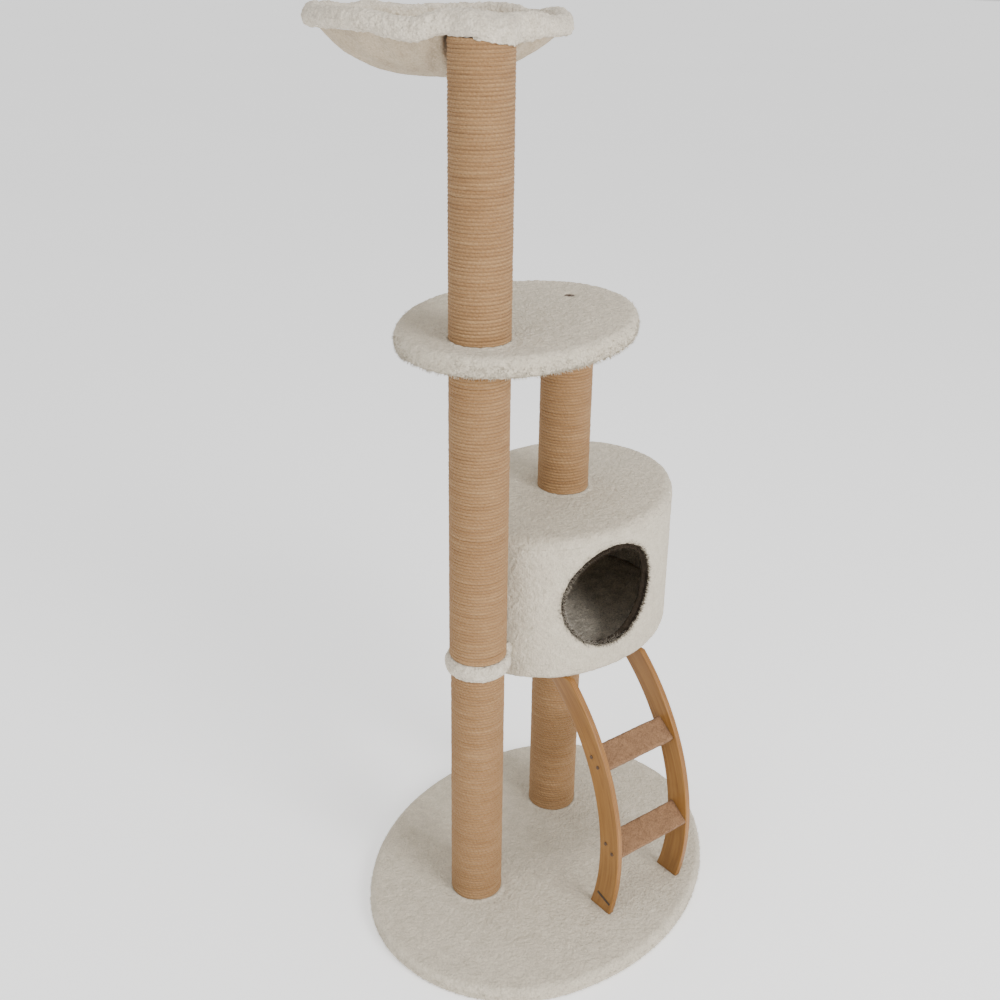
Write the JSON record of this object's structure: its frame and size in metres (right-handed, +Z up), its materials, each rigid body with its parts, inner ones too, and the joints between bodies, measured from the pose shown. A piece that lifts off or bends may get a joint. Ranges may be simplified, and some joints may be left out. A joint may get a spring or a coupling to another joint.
{
  "type": "cat tree",
  "caption": "Tall cat tree with rope-wrapped posts on an oval plush base, an oval condo with a round entrance and curved wooden ladder, an oval platform and a ring hammock on top.",
  "frame": {"origin": "centre of the oval base's underside, on the floor", "axes": "+X from the front (tall) post to the rear post, along the long side of the ovals; -Y is the entrance and ladder side; +Z up"},
  "size_m": [0.7278, 0.6608, 1.452],
  "materials": {
    "sisal_rope": "twisted tan sisal rope, matt and slightly hairy",
    "cardboard_tube": "plain brown cardboard",
    "plug_wood": "raw wood",
    "cream_plush": "short cream plush",
    "hammock_plush": "soft cream plush",
    "cream_sherpa": "curly cream sherpa pile",
    "grey_lining": "short grey-beige plush",
    "entry_binding": "dark taupe plush binding",
    "dark_steel": "dark browned steel",
    "particle_board": "raw particle board",
    "bent_ply": "thin bent ply, covered",
    "rail_ply": "honey-coloured birch ply, satin lacquer",
    "tread_carpet": "short brown-beige carpet",
    "strip_plastic": "plain dark strip, no text",
    "painted_steel": "white powder coat",
    "zinc_steel": "zinc-plated steel"
  },
  "bodies": {
    "root": {"base_board": "particle_board", "base_cover": "cream_plush", "base_bolts": "zinc_steel", "base_washers": "zinc_steel", "front_lower_tube": "cardboard_tube", "front_lower_rope": "sisal_rope", "front_lower_plugs": "plug_wood", "front_middle_tube": "cardboard_tube", "front_middle_rope": "sisal_rope", "front_middle_plugs": "plug_wood", "front_upper_tube": "cardboard_tube", "front_upper_rope": "sisal_rope", "front_upper_plugs": "plug_wood", "rear_lower_tube": "cardboard_tube", "rear_lower_rope": "sisal_rope", "rear_lower_plugs": "plug_wood", "rear_upper_tube": "cardboard_tube", "rear_upper_rope": "sisal_rope", "rear_upper_plugs": "plug_wood", "link_board": "particle_board", "link_cover": "cream_plush", "link_stud": "zinc_steel", "link_screws": "zinc_steel", "condo_floor_board": "particle_board", "condo_floor_cover": "cream_plush", "condo_floor_lining": "grey_lining", "condo_wall_shell": "bent_ply", "condo_wall_cover": "cream_plush", "condo_wall_lining": "grey_lining", "condo_entry_trim": "entry_binding", "condo_roof_board": "particle_board", "condo_roof_cover": "cream_plush", "condo_roof_lining": "grey_lining", "condo_bolts": "zinc_steel", "condo_washers": "zinc_steel", "platform_board": "particle_board", "platform_cover": "cream_plush", "platform_stud": "zinc_steel", "platform_bolt": "dark_steel", "platform_washer": "dark_steel", "hammock_ring": "painted_steel", "hammock_bracket": "painted_steel", "hammock_bowl": "hammock_plush", "hammock_rim": "cream_sherpa", "hammock_bolt": "zinc_steel", "hammock_washer": "zinc_steel", "ladder_rail_left": "rail_ply", "ladder_rail_right": "rail_ply", "tread_upper_board": "particle_board", "tread_lower_board": "particle_board", "tread_upper_cover": "tread_carpet", "tread_lower_cover": "tread_carpet", "tread_screws": "dark_steel", "ladder_foot_screws": "zinc_steel", "ladder_head_brackets": "painted_steel", "ladder_head_screws": "zinc_steel", "rail_strip": "strip_plastic"}
  },
  "joints": []
}
